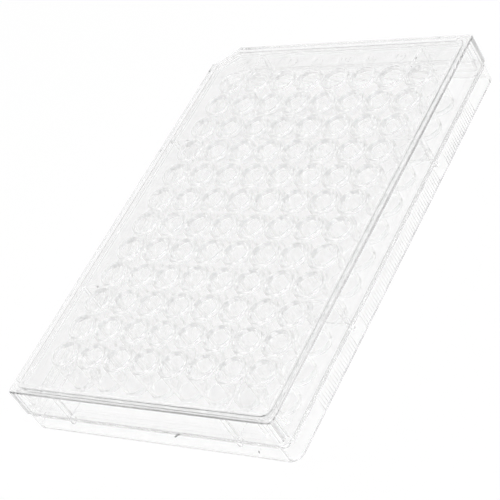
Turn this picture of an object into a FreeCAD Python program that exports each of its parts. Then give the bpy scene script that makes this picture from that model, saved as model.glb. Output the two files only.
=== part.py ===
"""A 96-well plate with its lid, both moulded in clear polystyrene.

Millimetres, +Z up. The origin is the middle of the rectangle that the plate stands on.
X runs along the plate's long side (columns 1 to 12) and Y along its short side (row A is
at +Y). The lid lies on the plate, turned so that its cut corner is at +X +Y.
"""
import FreeCAD, Part
import Sketcher
import math
import os

DRIVING_SIZES = [
    # the plate's foot: a low hollow flange, the same on every plate of this format
    ("end_margin", 14.38, "foot's ends out from the middles of the end wells"),
    ("side_margin", 11.24, "foot's sides out from the middles of the side wells"),
    ("plate_height", 14.20, "foot to top of the outer rim"),
    ("foot_corner_radius", 3.18, "upright corners of the foot"),
    ("flange_height", 5.75, "height of the foot's outer face"),
    ("flange_wall", 1.30, "wall of the foot"),
    ("ledge_thickness", 1.20, "shelf between the foot and the upper wall"),
    ("foot_edge_bevel", 0.35, "bevel on the foot's top edge"),
    ("draft_angle", 1.0, "slope of the moulded outer faces, degrees"),
    # the plate's upper part: a box open below, closed by the deck that holds the wells
    ("ledge_width", 2.26, "upper wall in from the foot's outer face"),
    ("upper_corner_radius", 2.00, "upright corners of the upper wall"),
    ("upper_wall", 1.20, "thickness of the upper wall"),
    ("rim_width", 1.50, "flat top of the rim that the lid rests on"),
    ("rim_edge_bevel", 0.20, "bevel on the rim's two edges"),
    ("deck_drop", 0.50, "deck below the rim"),
    ("deck_thickness", 1.20, "thickness of the deck"),
    # wells
    ("well_pitch", 9.00, "middle to middle"),
    ("column_count", 12, "wells along X"),
    ("row_count", 8, "wells along Y"),
    ("bore_top_diameter", 6.86, "mouth of a well"),
    ("bore_bottom_diameter", 6.35, "flat bottom of a well"),
    ("well_depth", 10.67, "mouth to flat bottom"),
    ("well_wall", 0.76, "wall of a well's tube"),
    ("well_floor", 1.20, "thickness under a well"),
    ("lip_height", 0.40, "ring round a well's mouth above the deck"),
    ("lip_bevel", 0.18, "bevel on the lip's two edges"),
    ("well_bottom_bevel", 0.30, "bevel at the bottom of a well, inside and outside"),
    # webs under the deck and spacer ribs outside, both in line with the gaps between wells
    ("stay_steps", 3, "webs and ribs from the middle, in wells"),
    ("web_thickness", 0.80, "webs from the upper wall to the nearest wells"),
    ("web_drop", 7.00, "webs below the deck"),
    ("spacer_thickness", 0.90, "spacer ribs on the upper wall"),
    ("spacer_gap", 0.25, "spacer rib to the lid's skirt"),
    ("spacer_drop", 0.90, "top of the spacer ribs below the rim"),
    ("lug_diameter", 1.30, "round lugs that stand on the ledge under the lid's skirt"),
    ("lug_inset", 0.75, "lug's middle in from the skirt's outside"),
    ("lug_gap", 0.10, "lug to the lid's skirt"),
    ("gusset_drop", 1.20, "gussets below the ledge"),
    ("gusset_thickness", 1.00, "gussets under the ledge, behind the lugs"),
    # grip: upright slots in the long faces of the foot
    ("grip_pitch", 1.00, "slot to slot"),
    ("grip_slot_width", 0.45, "width of a slot"),
    ("grip_slot_depth", 0.28, "depth of a slot"),
    ("grip_bottom", 0.40, "slots above the foot's underside"),
    ("grip_top", 0.45, "slots below the foot's top"),
    ("grip_gap", 3.00, "plain stretch each side of a lug"),
    # lid
    ("lid_setback", 0.07, "skirt's edge in from the foot's outer face"),
    ("lid_corner_radius", 1.50, "upright corners outside"),
    ("lid_inner_radius", 2.00, "upright corners inside"),
    ("lid_wall", 1.15, "thickness of the skirt"),
    ("lid_panel", 0.75, "thickness of the top"),
    ("lid_notch", 7.00, "cut corner, along each side"),
    ("lid_edge_radius", 0.50, "rounding of the top's outer edge"),
    ("lid_root_bevel", 0.30, "bevel inside, between the top and the skirt"),
    ("skirt_edge_bevel", 0.18, "bevel on the skirt's two lower edges"),
    ("seat_gap", 0.05, "lid to rim"),
    ("skirt_gap", 0.30, "skirt's edge above the ledge"),
    ("notch_gap", 0.90, "upper wall inside the lid's cut corner"),
    ("ridge_inset", 1.70, "stacking ridge from the skirt's outside"),
    ("ridge_width", 1.30, "width of the stacking ridge"),
    ("ridge_height", 0.20, "stacking ridge above the lid's top"),
    ("ridge_corner_radius", 3.00, "corners of the ridge outside"),
    ("ridge_edge_bevel", 0.08, "bevel on the ridge's two edges"),
    ("guide_inset", 4.50, "centring ribs from the lid's corners"),
    ("guide_thickness", 0.70, "thickness of the centring ribs"),
    ("guide_length", 5.00, "height of the centring ribs"),
    ("guide_gap", 0.30, "centring rib to the upper wall"),
    ("pip_diameter", 1.60, "small round pips on the lid"),
    ("pip_inset", 3.40, "pips from the lid's sides"),
    ("notch_pip_inset", 1.80, "pips beside the cut corner, from the lid's sides"),
    ("pip_beside_notch", 2.55, "pips past the ends of the cut corner"),
    ("pip_height", 0.15, "pips above the lid's top"),
]

# moving a rectangle's outline in by 1 shortens the leg of a 45 degree cut corner by this
NOTCH_SHARE = 2 - math.sqrt(2)

document = FreeCAD.newDocument("well_plate_with_lid")


class Size:
    """A number together with the expression that gives it from the sheet."""

    def __init__(self, value, text):
        self.value = value
        self.text = text

    @staticmethod
    def of(other):
        if isinstance(other, Size):
            return other
        return Size(float(other), repr(float(other)))

    def joined(self, other, sign, value):
        return Size(value, "(" + self.text + " " + sign + " " + other.text + ")")

    def __add__(self, other):
        other = Size.of(other)
        return self.joined(other, "+", self.value + other.value)

    def __sub__(self, other):
        other = Size.of(other)
        return self.joined(other, "-", self.value - other.value)

    def __mul__(self, other):
        other = Size.of(other)
        return self.joined(other, "*", self.value * other.value)

    def __truediv__(self, other):
        other = Size.of(other)
        return self.joined(other, "/", self.value / other.value)

    def __neg__(self):
        return self * -1


ZERO = Size(0.0, "0")


def make_sheet():
    """Write the driving sizes into a spreadsheet and hand them back as Size values."""
    sheet = document.addObject("Spreadsheet::Sheet", "sizes")
    values = {}
    for row, (name, value, meaning) in enumerate(DRIVING_SIZES, start=1):
        sheet.set("A%d" % row, meaning)
        sheet.set("B%d" % row, str(value))
        sheet.setAlias("B%d" % row, name)
        values[name] = Size(float(value), "sizes." + name)
    document.recompute()
    add_shared_sizes(values)
    return values


def add_shared_sizes(size):
    """Sizes that several pieces share, worked out from the driving ones."""
    size["column_run"] = size["well_pitch"] * (size["column_count"] - 1)
    size["row_run"] = size["well_pitch"] * (size["row_count"] - 1)
    size["plate_length"] = size["column_run"] + size["end_margin"] * 2
    size["plate_width"] = size["row_run"] + size["side_margin"] * 2
    for side in ("length", "width"):
        foot = size["plate_" + side]
        size["upper_" + side] = foot - size["ledge_width"] * 2
        size["lid_" + side] = foot - size["lid_setback"] * 2
    size["stay_offset"] = size["well_pitch"] * size["stay_steps"]
    size["deck_top"] = size["plate_height"] - size["deck_drop"]
    size["deck_bottom"] = size["deck_top"] - size["deck_thickness"]
    size["grip_height"] = size["flange_height"] - size["grip_bottom"] - size["grip_top"]
    size["skirt_edge"] = size["flange_height"] + size["skirt_gap"]
    size["panel_bottom"] = size["plate_height"] + size["seat_gap"]
    size["panel_top"] = size["panel_bottom"] + size["lid_panel"]


def bind(feature, path, size):
    """Tie one property of a feature to the sheet."""
    feature.setExpression(path, Size.of(size).text)


def origin_part(body, role):
    """One of the body's own origin planes or axes."""
    return next(item for item in body.Origin.OriginFeatures if item.Role == role)


def new_sketch(body, name, plane, offset):
    """A sketch on one of the body's origin planes, moved by three sizes in its own axes."""
    sketch = body.newObject("Sketcher::SketchObject", name)
    sketch.AttachmentSupport = (origin_part(body, plane), "")
    sketch.MapMode = "FlatFace"
    numbers = [Size.of(part).value for part in offset]
    sketch.AttachmentOffset = FreeCAD.Placement(FreeCAD.Vector(*numbers), FreeCAD.Rotation())
    for axis, part in zip("xyz", offset):
        bind(sketch, "AttachmentOffset.Base." + axis, part)
    return sketch


def pin_point(sketch, geometry, end, x, y):
    """Hold one end of a line or arc at (x, y) from the sketch's origin."""
    for kind, size in (("DistanceX", Size.of(x)), ("DistanceY", Size.of(y))):
        rule = sketch.addConstraint(Sketcher.Constraint(kind, -1, 1, geometry, end, size.value))
        bind(sketch, "Constraints[%d]" % rule, size)


def add_outline(sketch, corners, arcs=()):
    """A closed outline through pinned corners, in anticlockwise order.

    arcs maps the number of a side to (middle x, middle y, radius): that side is a quarter
    circle, and the others are straight.
    """
    arcs = dict(arcs)
    for number, (x, y) in enumerate(corners):
        next_x, next_y = corners[(number + 1) % len(corners)]
        start = FreeCAD.Vector(x.value, y.value, 0)
        end = FreeCAD.Vector(next_x.value, next_y.value, 0)
        if number in arcs:
            side = add_quarter_circle(sketch, start, *arcs[number])
        else:
            side = sketch.addGeometry(Part.LineSegment(start, end))
        pin_point(sketch, side, 1, x, y)
        if number > 0:
            sketch.addConstraint(Sketcher.Constraint("Coincident", side - 1, 2, side, 1))
    first = side - len(corners) + 1
    sketch.addConstraint(Sketcher.Constraint("Coincident", side, 2, first, 1))


def add_quarter_circle(sketch, start, middle_x, middle_y, radius):
    """A quarter circle that turns left from its start."""
    middle = FreeCAD.Vector(middle_x.value, middle_y.value, 0)
    circle = Part.Circle(middle, FreeCAD.Vector(0, 0, 1), radius.value)
    angle = math.atan2(start.y - middle.y, start.x - middle.x)
    side = sketch.addGeometry(Part.ArcOfCircle(circle, angle, angle + math.pi / 2))
    rule = sketch.addConstraint(Sketcher.Constraint("Radius", side, radius.value))
    bind(sketch, "Constraints[%d]" % rule, radius)
    return side


def add_rounded_rectangle(sketch, length, width, radius, notch=None):
    """A rectangle about the origin with round corners, and a straight cut at +X +Y if notched."""
    half_x = length / 2
    half_y = width / 2
    cut = radius if notch is None else notch
    corners = [
        (radius - half_x, -half_y), (half_x - radius, -half_y),
        (half_x, radius - half_y), (half_x, half_y - cut),
        (half_x - cut, half_y), (radius - half_x, half_y),
        (-half_x, half_y - radius), (-half_x, radius - half_y),
    ]
    arcs = {
        1: (half_x - radius, radius - half_y, radius),
        5: (radius - half_x, half_y - radius, radius),
        7: (radius - half_x, radius - half_y, radius),
    }
    if notch is None:
        arcs[3] = (half_x - radius, half_y - radius, radius)
    add_outline(sketch, corners, arcs)


def add_rectangle(sketch, middle_x, middle_y, length, width):
    """A plain rectangle about a given middle."""
    left = middle_x - length / 2
    right = middle_x + length / 2
    low = middle_y - width / 2
    high = middle_y + width / 2
    add_outline(sketch, [(left, low), (right, low), (right, high), (left, high)])


def add_circle(sketch, middle_x, middle_y, diameter):
    """A circle held by its middle and radius."""
    radius = diameter / 2
    middle = FreeCAD.Vector(middle_x.value, middle_y.value, 0)
    round_line = Part.Circle(middle, FreeCAD.Vector(0, 0, 1), radius.value)
    geometry = sketch.addGeometry(round_line)
    pin_point(sketch, geometry, 3, middle_x, middle_y)
    rule = sketch.addConstraint(Sketcher.Constraint("Radius", geometry, radius.value))
    bind(sketch, "Constraints[%d]" % rule, radius)


def volume_of(body):
    """The body's volume so far."""
    return 0.0 if body.Shape.isNull() else body.Shape.Volume


def finish_feature(body, feature, adds):
    """Recompute, and make sure that the feature changed the body's volume the right way."""
    before = volume_of(body)
    body.Tip = feature
    document.recompute()
    gained = volume_of(body) - before
    if (gained > 0) != adds or abs(gained) < 0.001:
        raise RuntimeError(feature.Name + " changed the volume by %.4f" % gained)
    return feature


def extrude(body, kind, name, sketch, length, taper, adds):
    """A pad or pocket of a sketch."""
    feature = body.newObject(kind, name)
    feature.Profile = sketch
    feature.Reversed = not adds
    feature.Length = length.value
    bind(feature, "Length", length)
    if taper is not None:
        bind(feature, "TaperAngle", taper)
    return finish_feature(body, feature, adds)


def pad(body, name, sketch, height, taper=None):
    """Raise a sketch along +Z of its plane."""
    return extrude(body, "PartDesign::Pad", name, sketch, height, taper, True)


def pocket_up(body, name, sketch, height, taper=None):
    """Cut a sketch out of the body along +Z of its plane."""
    return extrude(body, "PartDesign::Pocket", name, sketch, height, taper, False)


def spin(body, kind, name, sketch, adds):
    """Revolve a sketch about its own upright axis."""
    feature = body.newObject(kind, name)
    feature.Profile = sketch
    feature.ReferenceAxis = (sketch, ["V_Axis"])
    feature.Angle = 360
    return finish_feature(body, feature, adds)


def row_of(body, name, axis, length, count):
    """A linear pattern, used inside a pattern of patterns."""
    pattern = body.newObject("PartDesign::LinearPattern", name)
    pattern.Direction = (origin_part(body, axis), [""])
    bind(pattern, "Length", length)
    bind(pattern, "Occurrences", count)
    return pattern


def mirror_of(body, name, plane):
    """A mirror, used inside a pattern of patterns."""
    mirror = body.newObject("PartDesign::Mirrored", name)
    mirror.MirrorPlane = (origin_part(body, plane), [""])
    return mirror


def repeat(body, name, original, steps, adds):
    """Copy a feature by several patterns one after another."""
    feature = body.newObject("PartDesign::MultiTransform", name)
    feature.Originals = [original]
    feature.Transformations = steps
    return finish_feature(body, feature, adds)


def edges_at_height(feature, height):
    """Names of a feature's level edges at one height."""
    names = []
    for number, edge in enumerate(feature.Shape.Edges, start=1):
        if all(abs(vertex.Z - height.value) < 1e-4 for vertex in edge.Vertexes):
            names.append("Edge%d" % number)
    return names


def ease(body, kind, name, base, height, size, adds=False):
    """Round or bevel all the last feature's level edges at one height."""
    feature = body.newObject("PartDesign::" + kind, name)
    feature.Base = (base, edges_at_height(base, height))
    measure = "Radius" if kind == "Fillet" else "Size"
    setattr(feature, measure, size.value)
    bind(feature, measure, size)
    return finish_feature(body, feature, adds)


def make_well_plate(size):
    """The plate: foot, upper wall, deck, 96 wells, webs, spacer ribs, lugs and grip slots."""
    body = document.addObject("PartDesign::Body", "WellPlate")
    body.Label = "well_plate"
    body.Placement = FreeCAD.Placement()

    make_shell(body, size)
    make_spacers(body, size)
    make_webs(body, size)
    make_wells(body, size)
    make_grip(body, size)
    return body


def upper_notch(size):
    """The cut corner of the upper wall: the lid's, moved in by the skirt and a gap."""
    shortened = (size["lid_length"] + size["lid_width"] - size["upper_length"] - size["upper_width"]) / 2
    inward = (size["lid_wall"] + size["notch_gap"]) * math.sqrt(2)
    return size["lid_notch"] - shortened + inward


def make_shell(body, size):
    """Foot and upper wall as one hollow box, with the deck let in below the rim."""
    foot = new_sketch(body, "foot_outline", "XY_Plane", (ZERO, ZERO, ZERO))
    add_rounded_rectangle(foot, size["plate_length"], size["plate_width"], size["foot_corner_radius"])
    block = pad(body, "foot", foot, size["flange_height"], -size["draft_angle"])
    ease(body, "Chamfer", "foot_edge", block, size["flange_height"], size["foot_edge_bevel"])

    notch = upper_notch(size)
    wall = new_sketch(body, "upper_wall_outline", "XY_Plane", (ZERO, ZERO, ZERO))
    add_rounded_rectangle(
        wall, size["upper_length"], size["upper_width"], size["upper_corner_radius"], notch)
    pad(body, "upper_box", wall, size["plate_height"])

    foot_space = new_sketch(body, "foot_space_outline", "XY_Plane", (ZERO, ZERO, ZERO))
    add_rounded_rectangle(
        foot_space,
        size["plate_length"] - size["flange_wall"] * 2,
        size["plate_width"] - size["flange_wall"] * 2,
        size["foot_corner_radius"] - size["flange_wall"])
    pocket_up(
        body, "foot_space", foot_space,
        size["flange_height"] - size["ledge_thickness"], -size["draft_angle"])

    inner_notch = notch - size["upper_wall"] * NOTCH_SHARE
    box_space = new_sketch(body, "upper_space_outline", "XY_Plane", (ZERO, ZERO, ZERO))
    add_rounded_rectangle(
        box_space,
        size["upper_length"] - size["upper_wall"] * 2,
        size["upper_width"] - size["upper_wall"] * 2,
        size["upper_corner_radius"] - size["upper_wall"],
        inner_notch)
    pocket_up(body, "upper_space", box_space, size["deck_bottom"])

    recess_notch = notch - size["rim_width"] * NOTCH_SHARE
    recess = new_sketch(body, "deck_outline", "XY_Plane", (ZERO, ZERO, size["deck_top"]))
    add_rounded_rectangle(
        recess,
        size["upper_length"] - size["rim_width"] * 2,
        size["upper_width"] - size["rim_width"] * 2,
        size["upper_corner_radius"] - size["rim_width"],
        recess_notch)
    deck = pocket_up(body, "deck", recess, size["deck_drop"])
    ease(body, "Chamfer", "rim_edges", deck, size["plate_height"], size["rim_edge_bevel"])


def make_grip(body, size):
    """Upright slots in both long faces of the foot, left out beside the lugs."""
    face_y = -size["plate_width"] / 2
    inner_end = size["stay_offset"] - size["grip_gap"]
    middle_run = inner_end * 2
    middle = new_sketch(body, "middle_slot_outline", "XY_Plane", (-inner_end, face_y, size["grip_bottom"]))
    add_rectangle(middle, ZERO, ZERO, size["grip_slot_width"], size["grip_slot_depth"] * 2)
    slot = pocket_up(body, "middle_slot", middle, size["grip_height"])
    steps = [
        row_of(body, "middle_slot_row", "X_Axis", middle_run, middle_run / size["grip_pitch"] + 1),
        mirror_of(body, "middle_slot_far_side", "XZ_Plane"),
    ]
    repeat(body, "middle_grip", slot, steps, False)

    outer_start = size["stay_offset"] + size["grip_gap"]
    end_run = size["column_run"] / 2 - outer_start
    end = new_sketch(body, "end_slot_outline", "XY_Plane", (outer_start, face_y, size["grip_bottom"]))
    add_rectangle(end, ZERO, ZERO, size["grip_slot_width"], size["grip_slot_depth"] * 2)
    slot = pocket_up(body, "end_slot", end, size["grip_height"])
    steps = [
        row_of(body, "end_slot_row", "X_Axis", end_run, end_run / size["grip_pitch"] + 1),
        mirror_of(body, "end_slot_other_end", "YZ_Plane"),
        mirror_of(body, "end_slot_far_side", "XZ_Plane"),
    ]
    repeat(body, "end_grip", slot, steps, False)


def four_sided(size, half_x, half_y):
    """Places in line with the stays: (middle x, middle y, along_x) on all four sides."""
    stay = size["stay_offset"]
    places = []
    for side in (1, -1):
        for shift in (stay, -stay):
            places.append((shift, half_y * side, False))
            places.append((half_x * side, shift, True))
    return places


def add_stays(sketch, size, inner_x, inner_y, outer_x, outer_y, thickness):
    """Eight rectangles that reach from an inner line to an outer line, two on each side."""
    middle_x = (inner_x + outer_x) / 2
    middle_y = (inner_y + outer_y) / 2
    for place_x, place_y, along_x in four_sided(size, middle_x, middle_y):
        if along_x:
            add_rectangle(sketch, place_x, place_y, outer_x - inner_x, thickness)
        else:
            add_rectangle(sketch, place_x, place_y, thickness, outer_y - inner_y)


def make_spacers(body, size):
    """Ribs that keep the lid's skirt off the upper wall, lugs under it, gussets below them."""
    ledge = size["flange_height"]
    wall_x = (size["upper_length"] - size["upper_wall"]) / 2
    wall_y = (size["upper_width"] - size["upper_wall"]) / 2
    skirt_x = size["lid_length"] / 2 - size["lid_wall"]
    skirt_y = size["lid_width"] / 2 - size["lid_wall"]
    ribs = new_sketch(body, "spacer_outlines", "XY_Plane", (ZERO, ZERO, ledge))
    add_stays(
        ribs, size, wall_x, wall_y,
        skirt_x - size["spacer_gap"], skirt_y - size["spacer_gap"], size["spacer_thickness"])
    rib_height = size["plate_height"] - size["spacer_drop"] - ledge
    pad(body, "spacers", ribs, rib_height, -size["draft_angle"])

    lugs = new_sketch(body, "lug_outlines", "XY_Plane", (ZERO, ZERO, ledge))
    lug_x = size["lid_length"] / 2 - size["lug_inset"]
    lug_y = size["lid_width"] / 2 - size["lug_inset"]
    for place_x, place_y, _ in four_sided(size, lug_x, lug_y):
        add_circle(lugs, place_x, place_y, size["lug_diameter"])
    pad(body, "lugs", lugs, size["skirt_gap"] - size["lug_gap"])

    shelf = ledge - size["ledge_thickness"]
    gussets = new_sketch(body, "gusset_outlines", "XY_Plane", (ZERO, ZERO, shelf - size["gusset_drop"]))
    add_stays(
        gussets, size, wall_x, wall_y,
        (size["plate_length"] - size["flange_wall"]) / 2,
        (size["plate_width"] - size["flange_wall"]) / 2, size["gusset_thickness"])
    pad(body, "gussets", gussets, size["gusset_drop"] + size["ledge_thickness"] / 2)


def make_webs(body, size):
    """Webs under the deck, from the upper wall in to the line of the nearest wells."""
    start = size["deck_bottom"] - size["web_drop"]
    webs = new_sketch(body, "web_outlines", "XY_Plane", (ZERO, ZERO, start))
    add_stays(
        webs, size, size["column_run"] / 2, size["row_run"] / 2,
        (size["upper_length"] - size["upper_wall"]) / 2,
        (size["upper_width"] - size["upper_wall"]) / 2,
        size["web_thickness"])
    pad(body, "webs", webs, size["web_drop"] + size["deck_thickness"] / 2)


def make_wells(body, size):
    """One tube hung through the deck and bored, then copied over the grid."""
    first = (-size["column_run"] / 2, ZERO, size["row_run"] / 2)
    mouth = size["deck_top"] + size["lip_height"]
    bottom = mouth - size["well_depth"]
    underside = bottom - size["well_floor"]
    lip = size["lip_bevel"]
    turn = size["well_bottom_bevel"]
    bore_top = size["bore_top_diameter"] / 2
    bore_bottom = size["bore_bottom_diameter"] / 2
    tube_top = bore_top + size["well_wall"]
    tube_bottom = bore_bottom + size["well_wall"]

    tube_section = new_sketch(body, "tube_section", "XZ_Plane", first)
    add_outline(tube_section, [
        (ZERO, underside), (tube_bottom - turn, underside), (tube_bottom, underside + turn),
        (tube_top, mouth - lip), (tube_top - lip, mouth), (ZERO, mouth)])
    tube = spin(body, "PartDesign::Revolution", "tube", tube_section, True)
    copy_over_grid(body, size, "tubes", tube, True)

    bore_section = new_sketch(body, "bore_section", "XZ_Plane", first)
    add_outline(bore_section, [
        (ZERO, bottom), (bore_bottom - turn, bottom), (bore_bottom, bottom + turn),
        (bore_top, mouth - lip), (bore_top + lip, mouth), (ZERO, mouth)])
    bore = spin(body, "PartDesign::Groove", "bore", bore_section, False)
    copy_over_grid(body, size, "bores", bore, False)


def copy_over_grid(body, size, name, feature, adds):
    """Repeat the first well's feature over every column and row."""
    steps = [
        row_of(body, name + "_along_x", "X_Axis", size["column_run"], size["column_count"]),
        row_of(body, name + "_along_y", "Y_Axis", size["row_run"], size["row_count"]),
    ]
    repeat(body, name, feature, steps, adds)


def make_lid(size):
    """The lid: skirt, top, stacking ridge, centring ribs and pips."""
    body = document.addObject("PartDesign::Body", "Lid")
    body.Label = "lid"
    body.Placement = FreeCAD.Placement()
    skirt_edge = size["skirt_edge"]
    panel_bottom = size["panel_bottom"]
    panel_top = size["panel_top"]

    outside = new_sketch(body, "lid_outline", "XY_Plane", (ZERO, ZERO, skirt_edge))
    add_lid_outline(outside, size, ZERO, size["lid_corner_radius"])
    block = pad(body, "lid_block", outside, panel_top - skirt_edge, -size["draft_angle"])
    ease(body, "Fillet", "top_edge", block, panel_top, size["lid_edge_radius"])

    inside = new_sketch(body, "lid_space_outline", "XY_Plane", (ZERO, ZERO, skirt_edge))
    add_lid_outline(inside, size, size["lid_wall"], size["lid_inner_radius"])
    space = pocket_up(body, "lid_space", inside, panel_bottom - skirt_edge, -size["draft_angle"])
    root = ease(body, "Chamfer", "lid_root", space, panel_bottom, size["lid_root_bevel"], adds=True)
    ease(body, "Chamfer", "skirt_edges", root, skirt_edge, size["skirt_edge_bevel"])

    ridge = new_sketch(body, "ridge_outline", "XY_Plane", (ZERO, ZERO, panel_top))
    radius = size["ridge_corner_radius"]
    add_lid_outline(ridge, size, size["ridge_inset"], radius)
    add_lid_outline(ridge, size, size["ridge_inset"] + size["ridge_width"], radius - size["ridge_width"])
    raised = pad(body, "stacking_ridge", ridge, size["ridge_height"])
    ridge_top = panel_top + size["ridge_height"]
    ease(body, "Chamfer", "ridge_edges", raised, ridge_top, size["ridge_edge_bevel"])

    add_guides(body, size)
    add_pips(body, size)
    return body


def add_lid_outline(sketch, size, inset, radius):
    """The lid's outline moved in by one inset, its cut corner with it."""
    add_rounded_rectangle(
        sketch, size["lid_length"] - inset * 2, size["lid_width"] - inset * 2,
        radius, size["lid_notch"] - inset * NOTCH_SHARE)


def add_guides(body, size):
    """Short upright ribs in the three whole corners that centre the lid on the upper wall."""
    half_x = size["lid_length"] / 2
    half_y = size["lid_width"] / 2
    skirt_x = half_x - size["lid_wall"] / 2
    skirt_y = half_y - size["lid_wall"] / 2
    reach_x = size["upper_length"] / 2 + size["guide_gap"]
    reach_y = size["upper_width"] / 2 + size["guide_gap"]
    start = size["panel_bottom"] - size["guide_length"]
    guides = new_sketch(body, "guide_outlines", "XY_Plane", (ZERO, ZERO, start))
    for sign_x, sign_y in ((-1, -1), (1, -1), (-1, 1)):
        add_rectangle(
            guides, (skirt_x + reach_x) / 2 * sign_x, (half_y - size["guide_inset"]) * sign_y,
            skirt_x - reach_x, size["guide_thickness"])
        add_rectangle(
            guides, (half_x - size["guide_inset"]) * sign_x, (skirt_y + reach_y) / 2 * sign_y,
            size["guide_thickness"], skirt_y - reach_y)
    pad(body, "guides", guides, size["guide_length"] + size["lid_panel"] / 2)


def add_pips(body, size):
    """Low round pips: one in each whole corner and one at each end of the cut corner."""
    half_x = size["lid_length"] / 2
    half_y = size["lid_width"] / 2
    corner_x = half_x - size["pip_inset"]
    corner_y = half_y - size["pip_inset"]
    beside = size["lid_notch"] + size["pip_beside_notch"]
    places = [
        (-corner_x, -corner_y), (corner_x, -corner_y), (-corner_x, corner_y),
        (half_x - beside, half_y - size["notch_pip_inset"]),
        (half_x - size["notch_pip_inset"], half_y - beside),
    ]
    pips = new_sketch(body, "pip_outlines", "XY_Plane", (ZERO, ZERO, size["panel_top"]))
    for place_x, place_y in places:
        add_circle(pips, place_x, place_y, size["pip_diameter"])
    pad(body, "pips", pips, size["pip_height"])


def write_parts(bodies):
    """Check every object, then write each piece to its own file."""
    document.recompute()
    for item in document.Objects:
        if "Invalid" in item.State or "Error" in item.State:
            raise RuntimeError(item.Name + " did not build: " + str(item.State))
    os.makedirs("parts", exist_ok=True)
    for body in bodies:
        shape = body.Shape
        if shape.isNull() or not shape.isValid() or len(shape.Solids) != 1:
            raise RuntimeError(body.Label + " is not one sound solid")
    for body in bodies:
        body.Shape.exportStep(os.path.join("parts", body.Label + ".step"))


def main():
    size = make_sheet()
    plate = make_well_plate(size)
    lid = make_lid(size)
    write_parts([plate, lid])


main()
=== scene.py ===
"""A clear 96-well plate with its lid: mouldings, plastic, floor, lamp and camera.

Everything is in metres and in the frame of the solid model, +Z up. Columns run along X and
rows along Y. The plate and the lid are each one closed moulding that stands for its solid.
"""

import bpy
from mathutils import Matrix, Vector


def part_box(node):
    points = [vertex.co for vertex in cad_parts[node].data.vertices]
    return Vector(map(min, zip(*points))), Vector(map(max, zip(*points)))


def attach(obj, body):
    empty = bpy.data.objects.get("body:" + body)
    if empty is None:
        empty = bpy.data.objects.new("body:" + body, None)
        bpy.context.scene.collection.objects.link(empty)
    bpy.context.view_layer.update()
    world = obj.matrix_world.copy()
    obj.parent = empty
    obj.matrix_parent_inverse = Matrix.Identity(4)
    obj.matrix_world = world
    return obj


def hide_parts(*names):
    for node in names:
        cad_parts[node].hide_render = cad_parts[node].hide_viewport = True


bl_info = {
    "name": "Well plate",
    "version": (1, 0, 0),
    "blender": (4, 5, 0),
    "location": "View3D > Sidebar > Well plate",
    "description": "Builds a clear well plate with its lid, and the stage round it",
    "category": "Object",
}

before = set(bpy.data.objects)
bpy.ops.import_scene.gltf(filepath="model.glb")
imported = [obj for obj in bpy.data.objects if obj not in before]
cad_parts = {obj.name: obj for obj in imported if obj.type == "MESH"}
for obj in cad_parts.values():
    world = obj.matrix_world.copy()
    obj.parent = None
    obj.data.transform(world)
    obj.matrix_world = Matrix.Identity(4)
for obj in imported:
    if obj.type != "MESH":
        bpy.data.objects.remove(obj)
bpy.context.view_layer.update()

import math

import bmesh
import bpy
from mathutils import Matrix, Vector

MM = 0.001
MERGE = 0.001 * MM  # points nearer than this are one point
LEVEL = 1e-7  # points this near in height lie in one ring
EDGE_TURN = 0.1  # faces whose upward parts differ by more than this meet in an edge to round
LIFT = Vector((0.0, 0.0, 0.05))  # how far an outline is raised while it is bridged
NOTCH_SHARE = 2 - math.sqrt(2)  # how much a cut corner shortens when its outline moves in by one
CORNER_STEPS = 8  # facets of an upright corner
EDGE_STEPS = 3  # facets of a small rounded edge
TUBE_EDGE_STEPS = 2
PIP_EDGE_STEPS = 2
LID_ROOT_STEPS = 4
LID_EDGE_STEPS = 5
LUG_FACETS = 24
PIP_FACETS = 24
LETTER_STEPS = 3  # facets of a letter's curves
LARGE_FACES = 100  # how strongly the large faces set the shading of the edges beside them

# Near-black strokes painted on the foot, in millimetres: (start, end, whether it is the speck).
MARKS = (
    ((-63.80, -7.70, 4.40), (-63.70, -9.60, 5.65), False),
    ((-63.65, -9.70, 5.72), (-62.70, -10.40, 5.75), False),
    ((-63.83, -32.50, 3.20), (-63.83, -32.20, 2.40), True),
)
MARK_COLOUR = (0.01, 0.01, 0.01, 1.0)
MARK_CORE = 0.6  # share of a stroke's radius that is fully dark

# The noise values between which the polish goes from best to worst.
POLISH_NOISE = (0.35, 0.65)

# Level direction that the camera looks along, and how far a direction agrees with it
# where the light turns from the ceiling behind to the sides, and from there to the sweep.
AHEAD = (0.633, 0.774, 0.0)
REAR_TURN = (-0.6, -0.25)
SWEEP_TURN = (0.25, 0.6)
# Brightness of the room by the height of the direction: the two ends, then those between.
SIDES = (
    (0.0, 0.0), (1.0, 0.2), (0.55, 0.1), (0.72, 0.5), (0.85, 1.3), (0.93, 1.5), (0.975, 0.2))
BEHIND = (
    (0.0, 0.0), (1.0, 0.2), (0.3, 0.0), (0.5, 0.8), (0.8, 1.3), (0.93, 1.5), (0.975, 0.2))

FLOOR_GAP = 0.1 * MM  # floor below the plate
LIGHT_BOUNCES = 128  # a ray crosses many faces before it leaves the wells
SENSOR = 36.0  # width of the camera's sensor in millimetres
NEAREST = 0.01  # nearest thing that the camera shows
# The camera's own axes.
CAMERA_RIGHT = Vector((0.4243926207, -0.7871997361, -0.4474455039))
CAMERA_DOWN = Vector((-0.7525370968, -0.0318219505, -0.6577805724))
CAMERA_AHEAD = Vector((0.5035661043, 0.6158765615, -0.6059020049))


# ---------------------------------------------------------------------------------- sizes


def size(name, description, millimetres):
    """A length that the user can change, kept in metres."""
    return bpy.props.FloatProperty(
        name=name, description=description, default=millimetres * MM, min=0.0,
        subtype="DISTANCE", precision=5)


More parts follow.
